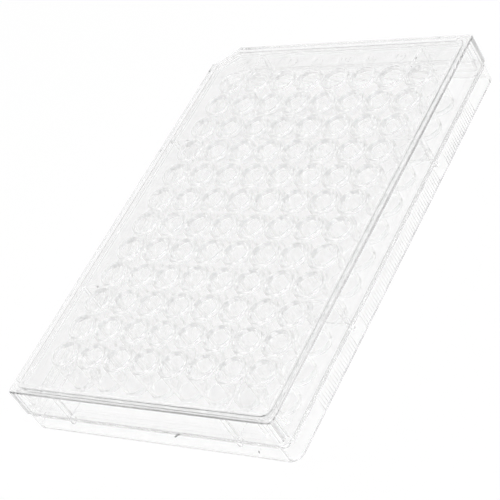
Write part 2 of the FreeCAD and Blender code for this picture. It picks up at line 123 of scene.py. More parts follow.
class PlateSizes(bpy.types.PropertyGroup):
    """Sizes of the plate's moulding."""

    foot_corner: size("Foot corner", "Upright corners of the foot", 3.18)
    foot_height: size("Foot height", "Height of the foot's outer face", 5.75)
    foot_wall: size("Foot wall", "Wall of the foot", 1.30)
    foot_edge: size("Foot edge", "Rounding of the foot's top edge", 0.35)
    base_edge: size("Base edge", "Rounding of the foot's outer bottom edge", 0.25)
    ledge: size("Ledge", "Shelf between the foot and the upper wall", 1.20)
    ledge_width: size("Ledge width", "Upper wall in from the foot's outer face", 2.26)
    wall_corner: size("Wall corner", "Upright corners of the upper wall", 2.00)
    wall: size("Upper wall", "Thickness of the upper wall", 1.20)
    wall_notch: size("Wall notch", "Cut corner of the upper wall", 5.52)
    height: size("Height", "Foot to top of the outer rim", 14.20)
    rim: size("Rim", "Flat top of the rim that the lid rests on", 1.50)
    rim_edge: size("Rim edge", "Rounding of the rim's two edges", 0.20)
    deck_drop: size("Deck drop", "Deck below the rim", 0.50)
    deck: size("Deck", "Thickness of the deck", 1.20)
    pitch: size("Pitch", "Middle of one well to the middle of the next", 9.00)
    bore_top: size("Well mouth", "Diameter of a well at its mouth", 6.86)
    bore_bottom: size("Well bottom", "Diameter of a well at its bottom", 6.35)
    well_depth: size("Well depth", "Mouth to flat bottom", 10.67)
    well_wall: size("Well wall", "Wall of a well's tube", 0.76)
    well_floor: size("Well floor", "Thickness under a well", 1.20)
    lip_height: size("Lip height", "Ring round a well's mouth above the deck", 0.40)
    lip_edge: size("Lip edge", "Rounding of the ring's two edges", 0.37)
    tube_edge: size("Tube edge", "Rounding at the bottom of a tube, inside and outside", 0.30)
    web: size("Web", "Thickness of the webs under the deck", 0.80)
    web_drop: size("Web drop", "Webs below the deck", 7.00)
    spacer: size("Spacer rib", "Thickness of the ribs outside the upper wall", 0.90)
    spacer_reach: size("Spacer reach", "Ribs' outside in from the foot's outer face", 1.47)
    spacer_drop: size("Spacer drop", "Top of the spacer ribs below the rim", 0.90)
    lug: size("Lug", "Diameter of the round lugs on the ledge", 1.30)
    lug_inset: size("Lug inset", "Middle of a lug in from the foot's outer face", 0.82)
    lug_height: size("Lug height", "Lugs above the ledge", 0.20)
    gusset: size("Gusset", "Thickness of the gussets under the ledge", 1.00)
    gusset_drop: size("Gusset drop", "Gussets below the ledge", 1.20)
    slot_pitch: size("Slot pitch", "Grip slot to grip slot", 1.00)
    slot_width: size("Slot width", "Width of a grip slot", 0.45)
    slot_depth: size("Slot depth", "Depth of a grip slot", 0.15)
    slot_bottom: size("Slot bottom", "Grip slots above the foot's underside", 0.40)
    slot_top: size("Slot top", "Grip slots below the foot's top", 0.45)
    slot_gap: size("Slot gap", "Plain stretch each side of a lug", 3.00)
    letter: size("Letter", "Type size of the row letters", 4.60)
    letter_rise: size("Letter rise", "Row letters above the deck", 0.20)
    letter_reach: size("Letter reach", "Row letters from the middle of the plate", 56.50)
    draft: bpy.props.FloatProperty(
        name="Draft", description="Slope of the moulded outer faces", subtype="ANGLE",
        default=math.radians(1.0))
    columns: bpy.props.IntProperty(name="Columns", description="Wells along X", default=12)
    rows: bpy.props.IntProperty(name="Rows", description="Wells along Y", default=8)
    stay_steps: bpy.props.IntProperty(
        name="Stay steps", description="Webs and ribs from the middle, in wells", default=3)
    facets: bpy.props.IntProperty(
        name="Facets", description="Sides of a well's circle", default=48, min=12)


class LidSizes(bpy.types.PropertyGroup):
    """Sizes of the lid's moulding."""

    corner: size("Corner", "Upright corners outside", 1.50)
    inner_corner: size("Inner corner", "Upright corners inside", 2.00)
    wall: size("Skirt", "Thickness of the skirt", 1.15)
    panel: size("Top", "Thickness of the top", 0.75)
    notch: size("Cut corner", "Cut corner, along each side", 7.00)
    edge: size("Top edge", "Rounding of the top's outer edge", 0.60)
    root: size("Root", "Rounding inside, between the top and the skirt", 0.10)
    skirt_edge: size("Skirt edge", "Rounding of the skirt's two lower edges", 0.18)
    ridge_inset: size("Ridge inset", "Stacking ridge in from the skirt's outside", 1.70)
    ridge_width: size("Ridge width", "Width of the stacking ridge", 1.30)
    ridge_height: size("Ridge height", "Stacking ridge above the top", 0.20)
    ridge_corner: size("Ridge corner", "Corners of the stacking ridge", 3.00)
    ridge_edge: size("Ridge edge", "Rounding of the stacking ridge's edges", 0.16)
    guide: size("Guide rib", "Thickness of the ribs inside the corners", 0.70)
    guide_inset: size("Guide inset", "Guide ribs from the lid's corners", 4.50)
    guide_reach: size("Guide reach", "Inside of the guide ribs from the lid's outer face", 1.89)
    guide_length: size("Guide length", "Height of the guide ribs", 5.00)
    pip: size("Pip", "Diameter of the small round pips", 1.60)
    pip_height: size("Pip height", "Pips above the top", 0.20)
    pip_edge: size("Pip edge", "Rounding of the pips", 0.15)
    pip_inset: size("Pip inset", "Pips from the lid's sides", 3.40)
    notch_pip_inset: size("Cut corner pip inset", "Pips by the cut corner from the sides", 1.80)
    pip_beside: size("Pip beside", "Pips past the ends of the cut corner", 2.55)
    draft: bpy.props.FloatProperty(
        name="Draft", description="Slope of the skirt's faces", subtype="ANGLE",
        default=math.radians(1.0))


class MouldingLook(bpy.types.PropertyGroup):
    """The clear plastic that both mouldings are made of."""

    tint: bpy.props.FloatVectorProperty(
        name="Tint", description="Colour that the plastic gives to light passing through",
        subtype="COLOR", size=3, default=(0.978, 0.978, 0.978), min=0.0, max=1.0)
    bend: bpy.props.FloatProperty(
        name="Refractive index", description="How far the plastic bends light",
        default=1.59, min=1.0, max=2.0)
    polish: bpy.props.FloatProperty(
        name="Best polish", description="Roughness where the mould was best polished",
        default=0.01, min=0.0, max=1.0)
    haze: bpy.props.FloatProperty(
        name="Worst polish", description="Roughness where the mould was least polished",
        default=0.03, min=0.0, max=1.0)
    haze_size: size("Haze size", "Length of the better and the worse polished patches", 12.0)
    # A near-black stroke is painted over the foot's edge; this is half its width.
    streak: size("Streak", "Half the width of the dark scuff on the foot", 0.22)
    speck: size("Speck", "Radius of the dark speck on the foot", 0.18)
    wave_size: size("Wave length", "Length of the slow waves in the moulded faces", 5.0)
    wave_depth: size("Wave depth", "Depth of the slow waves in the moulded faces", 0.004)
    crease: bpy.props.FloatProperty(
        name="Crease angle", description="Edges sharper than this stay crisp",
        subtype="ANGLE", default=math.radians(50))


class StageLook(bpy.types.PropertyGroup):
    """Floor, lamps and camera."""

    floor_colour: bpy.props.FloatVectorProperty(
        name="Floor", description="Colour of the floor", subtype="COLOR", size=3,
        default=(0.95, 0.95, 0.95), min=0.0, max=1.0)
    floor_glow: bpy.props.FloatProperty(
        name="Floor glow", description="Share of the floor's white that no shadow reaches",
        default=0.88, min=0.0, max=1.0, subtype="FACTOR")
    through_glow: bpy.props.FloatProperty(
        name="Floor glow through the plastic",
        description="The same share where the floor is seen through or in the plastic",
        default=0.85, min=0.0, max=1.0, subtype="FACTOR")
    sweep: bpy.props.FloatProperty(
        name="Sweep", description="Level of the white sweep beyond the plate", default=0.92)
    lamp_place: bpy.props.FloatVectorProperty(
        name="Lamp place", description="Middle of the soft lamp", subtype="TRANSLATION",
        size=3, default=(-0.5, -0.62, 1.27))
    lamp_size: bpy.props.FloatProperty(
        name="Lamp size", description="Side of the soft lamp", subtype="DISTANCE", default=0.9)
    lamp_level: bpy.props.FloatProperty(
        name="Lamp level", description="Brightness of the soft lamp's face", default=3.2)
    floor_size: bpy.props.FloatProperty(
        name="Floor size", description="Side of the square floor", subtype="DISTANCE",
        default=6.0)
    lens: bpy.props.FloatProperty(
        name="Focal length", description="Focal length of the camera in millimetres",
        default=117.577)
    eye: bpy.props.FloatVectorProperty(
        name="Camera place", description="Where the camera stands", subtype="TRANSLATION",
        size=3, default=(-0.219932, -0.262091, 0.263629))


def user_values(name):
    """The user's values for one group."""
    return getattr(bpy.context.scene, name)


# --------------------------------------------------------------------------- mesh helpers


def new_object(work, name):
    """Close the bmesh into an object of the scene."""
    mesh = bpy.data.meshes.new(name)
    work.to_mesh(mesh)
    work.free()
    piece = bpy.data.objects.new(name, mesh)
    bpy.context.scene.collection.objects.link(piece)
    return piece


def outline(work, length, width, radius, height, notch=0.0):
    """Edges of a round-cornered rectangle about the Z axis; a notch cuts its +X +Y corner."""
    old = set(work.edges)

    def added():
        """Edges of this outline so far."""
        return [edge for edge in work.edges if edge not in old]

    def far_corner():
        """The +X +Y corner."""
        return max((v for edge in added() for v in edge.verts), key=lambda v: v.co.x + v.co.y)

    corners = bmesh.ops.create_grid(work, x_segments=1, y_segments=1, size=0.5)["verts"]
    bmesh.ops.scale(work, verts=corners, vec=(length, width, 1.0))
    bmesh.ops.translate(work, verts=corners, vec=(0.0, 0.0, height))
    rounds = [vertex for vertex in corners if not notch or vertex is not far_corner()]
    bmesh.ops.bevel(
        work, geom=rounds, offset=radius, segments=CORNER_STEPS, affect="VERTICES",
        profile=0.5, material=-1)
    if notch:
        bmesh.ops.bevel(
            work, geom=[far_corner()], offset=notch, segments=1, affect="VERTICES",
            profile=0.5, material=-1)
        across = max(added(), key=lambda edge: sum(v.co.x + v.co.y for v in edge.verts))
        bmesh.ops.subdivide_edges(work, edges=[across], cuts=CORNER_STEPS - 1)
    ring = added()
    faces = list({face for edge in ring for face in edge.link_faces})
    bmesh.ops.delete(work, geom=faces, context="FACES_ONLY")
    return ring


def skin(work, rings, capped=True):
    """Close a solid through a row of outlines: caps at both ends, or the last meets the first.

    Each outline is lifted while it is bridged, because level pairs come out twisted.
    """
    pairs = list(zip(rings, rings[1:] if capped else rings[1:] + rings[:1]))
    for first, second in pairs:
        corners = list({vertex for edge in second for vertex in edge.verts})
        bmesh.ops.translate(work, verts=corners, vec=LIFT)
        bmesh.ops.bridge_loops(work, edges=first + second)
        bmesh.ops.translate(work, verts=corners, vec=-LIFT)
    if capped:
        for ring in (rings[0], rings[-1]):
            bmesh.ops.edgeloop_fill(work, edges=ring)
    bmesh.ops.recalc_face_normals(work, faces=work.faces)


def add_block(work, low, high):
    """A box between two corners."""
    middle = (Vector(low) + Vector(high)) / 2
    extent = Vector(high) - Vector(low)
    place = Matrix.Translation(middle) @ Matrix.Diagonal((*extent, 1.0))
    bmesh.ops.create_cube(work, size=1.0, matrix=place)


def add_turned(work, profile, facets):
    """A solid turned about the Z axis from (radius, height) points that start and end on it."""
    points = [work.verts.new((radius, 0.0, height)) for radius, height in profile]
    edges = [work.edges.new(pair) for pair in zip(points, points[1:])]
    bmesh.ops.spin(
        work, geom=points + edges, cent=(0, 0, 0), axis=(0, 0, 1), dvec=(0, 0, 0),
        angle=math.tau, steps=facets, use_merge=True, use_duplicate=False)
    bmesh.ops.remove_doubles(work, verts=work.verts, dist=MERGE)
    bmesh.ops.recalc_face_normals(work, faces=work.faces)


def round_rings(work, height, offset, steps):
    """Round the edges of a turned solid at one height."""
    rings = [
        edge for edge in work.edges
        if all(abs(vertex.co.z - height) < LEVEL for vertex in edge.verts)
        and len(edge.link_faces) == 2
        and abs(edge.link_faces[0].normal.z - edge.link_faces[1].normal.z) > EDGE_TURN]
    bmesh.ops.bevel(
        work, geom=rings, offset=offset, segments=steps, affect="EDGES", profile=0.5,
        material=-1, clamp_overlap=True)


def fill_grid(work, places):
    """Copy the whole bmesh to every place and drop the original."""
    corners = work.verts[:]
    first = corners + work.edges[:] + work.faces[:]
    for x, y in places:
        copy = bmesh.ops.duplicate(work, geom=first)
        verts = [item for item in copy["geom"] if isinstance(item, bmesh.types.BMVert)]
        bmesh.ops.translate(work, verts=verts, vec=(x, y, 0.0))
    bmesh.ops.delete(work, geom=corners)


def combine(target, work, operation):
    """Add a bmesh's solids to the target, or cut them out of it."""
    tool = new_object(work, "tool")
    joined = target.modifiers.new("join", "BOOLEAN")
    joined.solver = "MANIFOLD"
    joined.operation = operation
    joined.object = tool
    graph = bpy.context.evaluated_depsgraph_get()
    mesh = bpy.data.meshes.new_from_object(target.evaluated_get(graph))
    old = target.data
    target.modifiers.remove(joined)
    target.data = mesh
    bpy.data.meshes.remove(old)
    bpy.data.objects.remove(tool)
    if len(mesh.polygons) == 0:
        raise RuntimeError("The mouldings could not be joined")


def finish_surface(piece, crease):
    """Shade the rounded edges smooth and keep the flat faces flat."""
    work = bmesh.new()
    work.from_mesh(piece.data)
    bmesh.ops.remove_doubles(work, verts=work.verts, dist=MERGE)
    for edge in work.edges:
        edge.smooth = edge.calc_face_angle(0.0) < crease
    for face in work.faces:
        face.smooth = True
    work.to_mesh(piece.data)
    work.free()
    piece.data.materials.clear()
    weighted = piece.modifiers.new("even faces", "WEIGHTED_NORMAL")
    weighted.keep_sharp = True
    weighted.weight = LARGE_FACES


# ----------------------------------------------------------------------------- mouldings


def well_place(sizes, column, row):
    """Middle of one well, counted from the -X -Y corner."""
    return (
        (column - (sizes.columns - 1) / 2) * sizes.pitch,
        (row - (sizes.rows - 1) / 2) * sizes.pitch)


def last_well(sizes):
    """Middle of the well in the +X +Y corner."""
    return well_place(sizes, sizes.columns - 1, sizes.rows - 1)


def well_places(sizes):
    """Middles of all the wells."""
    return [
        well_place(sizes, column, row)
        for column in range(sizes.columns) for row in range(sizes.rows)]


def stay_places(sizes, half_x, half_y):
    """Two places on each side of the plate: (x, y, along_x)."""
    stay = sizes.stay_steps * sizes.pitch
    places = []
    for side in (1, -1):
        for shift in (stay, -stay):
            places.append((shift, half_y * side, False))
            places.append((half_x * side, shift, True))
    return places


def add_stays(work, sizes, inner, outer, thickness, low, high):
    """Eight thin blocks that reach from an inner line to an outer line."""
    middle_x, middle_y = (inner[0] + outer[0]) / 2, (inner[1] + outer[1]) / 2
    for x, y, along_x in stay_places(sizes, middle_x, middle_y):
        half_x = (outer[0] - inner[0]) / 2 if along_x else thickness / 2
        half_y = thickness / 2 if along_x else (outer[1] - inner[1]) / 2
        add_block(work, (x - half_x, y - half_y, low), (x + half_x, y + half_y, high))


def rounding(offset, steps=EDGE_STEPS):
    """(inward, up) points of a quarter circle, from the side of an edge to its top."""
    angles = [math.pi / 2 * step / steps for step in range(steps + 1)]
    return [(offset * (1 - math.cos(angle)), offset * math.sin(angle)) for angle in angles]


def plate_shell(sizes, length, width):
    """Foot, upper wall, rim and deck as one closed solid."""
    work = bmesh.new()
    slope = math.tan(sizes.draft)
    foot_top = sizes.foot_height
    deck_top = sizes.height - sizes.deck_drop
    deck_bottom = deck_top - sizes.deck

    def foot_ring(inset, height):
        """Outline of the foot, moved in from its outer face."""
        return outline(
            work, length - 2 * inset, width - 2 * inset, sizes.foot_corner - inset, height)

    def wall_ring(inset, height):
        """Outline of the upper wall, moved in from its outside."""
        whole = sizes.ledge_width + inset
        return outline(
            work, length - 2 * whole, width - 2 * whole, sizes.wall_corner - inset, height,
            sizes.wall_notch - inset * NOTCH_SHARE)

    shelf = foot_top - sizes.ledge
    rings = [
        wall_ring(sizes.wall, deck_bottom), wall_ring(sizes.wall, shelf),
        foot_ring(sizes.foot_wall + shelf * slope, shelf), foot_ring(sizes.foot_wall, 0.0)]
    for inward, up in reversed(rounding(sizes.base_edge)):
        rings.append(foot_ring(inward, sizes.base_edge - up))
    for inward, up in rounding(sizes.foot_edge):
        rings.append(foot_ring(foot_top * slope + inward, foot_top - sizes.foot_edge + up))
    rings.append(wall_ring(0.0, foot_top))
    for inward, up in rounding(sizes.rim_edge):
        rings.append(wall_ring(inward, sizes.height - sizes.rim_edge + up))
    for inward, up in reversed(rounding(sizes.rim_edge)):
        rings.append(wall_ring(sizes.rim - inward, sizes.height - sizes.rim_edge + up))
    rings.append(wall_ring(sizes.rim, deck_top))
    skin(work, rings)
    return work


def well_tubes(sizes, mouth):
    """Outsides of all the wells."""
    work = bmesh.new()
    bottom = mouth - sizes.well_depth - sizes.well_floor
    add_turned(work, [
        (0.0, bottom), (sizes.bore_bottom / 2 + sizes.well_wall, bottom),
        (sizes.bore_top / 2 + sizes.well_wall, mouth), (0.0, mouth)], sizes.facets)
    round_rings(work, bottom, sizes.tube_edge, TUBE_EDGE_STEPS)
    round_rings(work, mouth, sizes.lip_edge, EDGE_STEPS)
    fill_grid(work, well_places(sizes))
    return work


def well_bores(sizes, mouth):
    """Insides of all the wells, flared at the mouth."""
    work = bmesh.new()
    bottom = mouth - sizes.well_depth
    radius = sizes.bore_top / 2
    flare = sizes.lip_edge
    lip = [(radius + inward, mouth - flare + up) for inward, up in rounding(flare)]
    add_turned(work, [
        (0.0, bottom), (sizes.bore_bottom / 2, bottom), *lip,
        (radius + flare, mouth + flare), (0.0, mouth + flare)], sizes.facets)
    round_rings(work, bottom, sizes.tube_edge, TUBE_EDGE_STEPS)
    fill_grid(work, well_places(sizes))
    return work


def grip_slots(sizes, width):
    """Upright slots in both long faces of the foot."""
    work = bmesh.new()
    low, high = sizes.slot_bottom, sizes.foot_height - sizes.slot_top
    half = sizes.slot_width / 2
    stay = sizes.stay_steps * sizes.pitch
    end = last_well(sizes)[0]
    inner = int(round((stay - sizes.slot_gap) / sizes.slot_pitch))
    places = [step * sizes.slot_pitch for step in range(-inner, inner + 1)]
    outer = stay + sizes.slot_gap
    while outer < end + half:
        places += [outer, -outer]
        outer += sizes.slot_pitch
    for face in (width / 2, -width / 2):
        for x in places:
            add_block(
                work, (x - half, face - sizes.slot_depth, low),
                (x + half, face + sizes.slot_depth, high))
    return work


def row_letters(sizes, deck_top):
    """A raised letter at the end of every row, sunk halfway into the deck."""
    work = bmesh.new()
    depth = sizes.deck / 2 + sizes.letter_rise
    for row in range(sizes.rows):
        text = bpy.data.curves.new("letter", "FONT")
        text.body = chr(ord("A") + row)
        text.size = sizes.letter
        text.extrude = depth / 2
        text.resolution_u = LETTER_STEPS
        text.align_x = text.align_y = "CENTER"
        holder = bpy.data.objects.new("letter", text)
        mesh = bpy.data.meshes.new_from_object(holder)
        y = -well_place(sizes, 0, row)[1]
        mesh.transform(Matrix.Translation(
            (sizes.letter_reach, y, deck_top + sizes.letter_rise - depth / 2)))
        work.from_mesh(mesh)
        bpy.data.objects.remove(holder)
        bpy.data.curves.remove(text)
        bpy.data.meshes.remove(mesh)
    bmesh.ops.remove_doubles(work, verts=work.verts, dist=MERGE)
    bmesh.ops.recalc_face_normals(work, faces=work.faces)
    return work


def mould_plate(sizes):
    """The whole plate as one closed, smooth-shaded solid."""
    low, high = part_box("well_plate")
    length, width = high.x - low.x, high.y - low.y
    deck_top = sizes.height - sizes.deck_drop
    deck_bottom = deck_top - sizes.deck
    mouth = deck_top + sizes.lip_height
    piece = new_object(plate_shell(sizes, length, width), "plate_moulding")

    wall_inset = sizes.ledge_width + sizes.wall / 2
    wall_middle = (length / 2 - wall_inset, width / 2 - wall_inset)
    webs = bmesh.new()
    add_stays(
        webs, sizes, last_well(sizes), wall_middle, sizes.web, deck_bottom - sizes.web_drop,
        deck_bottom + sizes.deck / 2)
    combine(piece, webs, "UNION")

    spacers = bmesh.new()
    reach = (length / 2 - sizes.spacer_reach, width / 2 - sizes.spacer_reach)
    add_stays(
        spacers, sizes, wall_middle, reach, sizes.spacer,
        sizes.foot_height - sizes.ledge / 2, sizes.height - sizes.spacer_drop)
    combine(piece, spacers, "UNION")

    gussets = bmesh.new()
    shelf = sizes.foot_height - sizes.ledge
    add_stays(
        gussets, sizes, wall_middle,
        (length / 2 - sizes.foot_wall / 2, width / 2 - sizes.foot_wall / 2),
        sizes.gusset, shelf - sizes.gusset_drop, shelf + sizes.ledge / 2)
    combine(piece, gussets, "UNION")

    lugs = bmesh.new()
    height = sizes.lug_height + sizes.ledge / 2
    for x, y, _ in stay_places(sizes, length / 2 - sizes.lug_inset, width / 2 - sizes.lug_inset):
        place = Matrix.Translation((x, y, sizes.foot_height + sizes.lug_height - height / 2))
        bmesh.ops.create_cone(
            lugs, cap_ends=True, segments=LUG_FACETS, radius1=sizes.lug / 2,
            radius2=sizes.lug / 2, depth=height, matrix=place)
    combine(piece, lugs, "UNION")

    combine(piece, well_tubes(sizes, mouth), "UNION")
    combine(piece, well_bores(sizes, mouth), "DIFFERENCE")
    combine(piece, grip_slots(sizes, width), "DIFFERENCE")
    combine(piece, row_letters(sizes, deck_top), "UNION")
    return piece


def lid_shell(sizes, length, width, low, top):
    """The lid's top and skirt as one closed solid."""
    work = bmesh.new()
    slope = math.tan(sizes.draft)
    underside = top - sizes.panel

    def ring(inset, height, corner):
        """Outline of the lid, moved in from its outside."""
        return outline(
            work, length - 2 * inset, width - 2 * inset, corner, height,
            sizes.notch - inset * NOTCH_SHARE)

    rings = []
    lean = (underside - low) * slope
    for inward, up in reversed(rounding(sizes.root, LID_ROOT_STEPS)):
        rings.append(ring(
            sizes.wall + lean + inward, underside - sizes.root + up,
            sizes.inner_corner - lean - inward))
    for inward, up in rounding(sizes.skirt_edge):
        rings.append(ring(
            sizes.wall - inward, low + sizes.skirt_edge - up, sizes.inner_corner + inward))
    for inward, up in reversed(rounding(sizes.skirt_edge)):
        rings.append(ring(inward, low + sizes.skirt_edge - up, sizes.corner - inward))
    lean = (top - sizes.edge - low) * slope
    for inward, up in rounding(sizes.edge, LID_EDGE_STEPS):
        rings.append(ring(lean + inward, top - sizes.edge + up, sizes.corner - lean - inward))
    skin(work, rings)
    return work


def stacking_ridge(sizes, length, width, top):
    """The low ridge round the lid's top, sunk halfway into it."""
    work = bmesh.new()

    def ring(inset, height):
        """Outline of the ridge, moved in from its outside."""
        whole = sizes.ridge_inset + inset
        return outline(
            work, length - 2 * whole, width - 2 * whole, sizes.ridge_corner - inset, height,
            sizes.notch - whole * NOTCH_SHARE)

    crest = top + sizes.ridge_height - sizes.ridge_edge
    rings = [ring(0.0, top - sizes.panel / 2)]
    for inward, up in rounding(sizes.ridge_edge):
        rings.append(ring(inward, crest + up))
    for inward, up in reversed(rounding(sizes.ridge_edge)):
        rings.append(ring(sizes.ridge_width - inward, crest + up))
    rings.append(ring(sizes.ridge_width, top - sizes.panel / 2))
    skin(work, rings, capped=False)
    return work


def guide_ribs(sizes, half_x, half_y, underside):
    """Short upright ribs inside the three whole corners."""
    work = bmesh.new()
    low, high = underside - sizes.guide_length, underside + sizes.panel / 2
    for sign_x, sign_y in ((-1, -1), (1, -1), (-1, 1)):
        for along_x in (True, False):
            half, other = (half_x, half_y) if along_x else (half_y, half_x)
            across = other - sizes.guide_inset
            near, far = half - sizes.guide_reach, half - sizes.wall / 2
            low_side, high_side = across - sizes.guide / 2, across + sizes.guide / 2
            first = (near, low_side) if along_x else (low_side, near)
            last = (far, high_side) if along_x else (high_side, far)
            x_low, x_high = sorted((first[0] * sign_x, last[0] * sign_x))
            y_low, y_high = sorted((first[1] * sign_y, last[1] * sign_y))
            add_block(work, (x_low, y_low, low), (x_high, y_high, high))
    return work


def round_pips(sizes, half_x, half_y, top):
    """Low round pips: one in each whole corner and one at each end of the cut corner."""
    work = bmesh.new()
    crest = top + sizes.pip_height
    foot = top - sizes.panel / 2
    add_turned(work, [
        (0.0, foot), (sizes.pip / 2, foot), (sizes.pip / 2, crest), (0.0, crest)], PIP_FACETS)
    round_rings(work, crest, sizes.pip_edge, PIP_EDGE_STEPS)
    corner_x, corner_y = half_x - sizes.pip_inset, half_y - sizes.pip_inset
    beside = sizes.notch + sizes.pip_beside
    fill_grid(work, [
        (-corner_x, -corner_y), (corner_x, -corner_y), (-corner_x, corner_y),
        (half_x - beside, half_y - sizes.notch_pip_inset),
        (half_x - sizes.notch_pip_inset, half_y - beside)])
    return work


def mould_lid(sizes):
    """The whole lid as one closed, smooth-shaded solid."""
    low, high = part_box("lid")
    length, width = high.x - low.x, high.y - low.y
    top = high.z - sizes.ridge_height
    piece = new_object(lid_shell(sizes, length, width, low.z, top), "lid_moulding")
    combine(piece, stacking_ridge(sizes, length, width, top), "UNION")
    combine(piece, guide_ribs(sizes, length / 2, width / 2, top - sizes.panel), "UNION")
    combine(piece, round_pips(sizes, length / 2, width / 2, top), "UNION")
    return piece


# ------------------------------------------------------------------------------ finishes


def stroke_mask(nodes, links, place, start, end, radius):
    """1 within a radius of a short straight stroke, 0 away from it."""
    along = end - start

    def vector_step(operation, first, second):
        """A vector calculation with a fixed second part."""
        step = nodes.new("ShaderNodeVectorMath")
        step.operation = operation
        links.new(first, step.inputs[0])
        step.inputs[1].default_value = second
        return step

    from_start = vector_step("SUBTRACT", place, start).outputs["Vector"]
    share = nodes.new("ShaderNodeMath")
    share.operation = "DIVIDE"
    share.use_clamp = True
    links.new(vector_step("DOT_PRODUCT", from_start, along).outputs["Value"], share.inputs[0])
    share.inputs[1].default_value = along.length_squared
    walk = nodes.new("ShaderNodeVectorMath")
    walk.operation = "SCALE"
    walk.inputs[0].default_value = along
    links.new(share.outputs[0], walk.inputs["Scale"])
    gap = nodes.new("ShaderNodeVectorMath")
    gap.operation = "DISTANCE"
    links.new(from_start, gap.inputs[0])
    links.new(walk.outputs["Vector"], gap.inputs[1])
    mask = nodes.new("ShaderNodeMapRange")
    mask.inputs["From Min"].default_value = radius * MARK_CORE
    mask.inputs["From Max"].default_value = radius
    mask.inputs["To Min"].default_value = 1.0
    mask.inputs["To Max"].default_value = 0.0
    links.new(gap.outputs["Value"], mask.inputs["Value"])
    return mask.outputs["Result"]


def add_marks(material, look):
    """A small near-black streak painted over the edge of the foot, and a near-black speck
    painted on its face.
    """
    nodes, links = material.node_tree.nodes, material.node_tree.links
    place = nodes.new("ShaderNodeTexCoord").outputs["Object"]
    last = None
    for start, end, is_speck in MARKS:
        mask = stroke_mask(
            nodes, links, place, Vector(start) * MM, Vector(end) * MM,
            look.speck if is_speck else look.streak)
        mix = nodes.new("ShaderNodeMixRGB")
        links.new(mask, mix.inputs["Fac"])
        if last:
            links.new(last, mix.inputs["Color1"])
        else:
            mix.inputs["Color1"].default_value = (*look.tint, 1.0)
        mix.inputs["Color2"].default_value = MARK_COLOUR
        last = mix.outputs["Color"]
    links.new(last, nodes["Principled BSDF"].inputs["Base Color"])


def clear_plastic(name):
    """Polished clear plastic with faint flow waves and slightly uneven polish."""
    look = user_values("moulding_look")
    material = bpy.data.materials.new(name)
    material.use_nodes = True
    nodes, links = material.node_tree.nodes, material.node_tree.links
    shader = nodes["Principled BSDF"]
    shader.inputs["Base Color"].default_value = (*look.tint, 1.0)
    shader.inputs["IOR"].default_value = look.bend
    shader.inputs["Transmission Weight"].default_value = 1.0
    place = nodes.new("ShaderNodeTexCoord")

    def patches(length):
        """Soft noise of about this length."""
        noise = nodes.new("ShaderNodeTexNoise")
        noise.inputs["Scale"].default_value = 1 / length
        noise.inputs["Detail"].default_value = 1.0
        links.new(place.outputs["Object"], noise.inputs["Vector"])
        return noise.outputs["Fac"]

    polish = nodes.new("ShaderNodeMapRange")
    polish.inputs["From Min"].default_value = POLISH_NOISE[0]
    polish.inputs["From Max"].default_value = POLISH_NOISE[1]
    polish.inputs["To Min"].default_value = look.polish
    polish.inputs["To Max"].default_value = look.haze
    links.new(patches(look.haze_size), polish.inputs["Value"])
    links.new(polish.outputs["Result"], shader.inputs["Roughness"])
    waves = nodes.new("ShaderNodeBump")
    waves.inputs["Distance"].default_value = look.wave_depth
    links.new(patches(look.wave_size), waves.inputs["Height"])
    links.new(waves.outputs["Normal"], shader.inputs["Normal"])
    return material


class PLATE_OT_mould_plate(bpy.types.Operator):
    """Make the plate's visible moulding"""

    bl_idname = "wellplate.mould_plate"
    bl_label = "Mould plate"

    def execute(self, context):
        look = user_values("moulding_look")
        piece = mould_plate(user_values("plate_sizes"))
        finish_surface(piece, look.crease)
        plastic = clear_plastic("clear plate")
        add_marks(plastic, look)
        piece.data.materials.append(plastic)
        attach(piece, "root")
        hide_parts("well_plate")
        return {"FINISHED"}


class PLATE_OT_mould_lid(bpy.types.Operator):
    """Make the lid's visible moulding"""

    bl_idname = "wellplate.mould_lid"
    bl_label = "Mould lid"

    def execute(self, context):
        look = user_values("moulding_look")
        piece = mould_lid(user_values("lid_sizes"))
        finish_surface(piece, look.crease)
        piece.data.materials.append(clear_plastic("clear lid"))
        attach(piece, "root")
        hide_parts("lid")
        return {"FINISHED"}


# ---------------------------------------------------------------------------------- stage


def floor_material(look):
    """White floor that keeps a faint shadow, and looks a little greyer through the plastic."""
    material = bpy.data.materials.new("white floor")
    material.use_nodes = True
    tree = material.node_tree
    nodes, links = tree.nodes, tree.links
    nodes.clear()
    output = nodes.new("ShaderNodeOutputMaterial")
    paper = nodes.new("ShaderNodeBsdfDiffuse")
    paper.inputs["Color"].default_value = (*look.floor_colour, 1.0)
    glow = nodes.new("ShaderNodeEmission")
    glow.inputs["Strength"].default_value = 1.0
    path = nodes.new("ShaderNodeLightPath")
    seen = nodes.new("ShaderNodeMath")
    seen.operation = "MAXIMUM"
    links.new(path.outputs["Is Glossy Ray"], seen.inputs[0])
    links.new(path.outputs["Is Transmission Ray"], seen.inputs[1])
    through = nodes.new("ShaderNodeMath")
    through.operation = "MULTIPLY"
    through.inputs[1].default_value = look.through_glow
    links.new(seen.outputs[0], through.inputs[0])
    direct = nodes.new("ShaderNodeMath")
    direct.operation = "MULTIPLY"
    direct.inputs[1].default_value = look.floor_glow
    links.new(path.outputs["Is Camera Ray"], direct.inputs[0])
    share = nodes.new("ShaderNodeMath")
    share.operation = "MAXIMUM"
    links.new(direct.outputs[0], share.inputs[0])
    links.new(through.outputs[0], share.inputs[1])
    mix = nodes.new("ShaderNodeMixShader")
    links.new(share.outputs[0], mix.inputs[0])
    links.new(paper.outputs[0], mix.inputs[1])
    links.new(glow.outputs[0], mix.inputs[2])
    links.new(mix.outputs[0], output.inputs["Surface"])
    return material


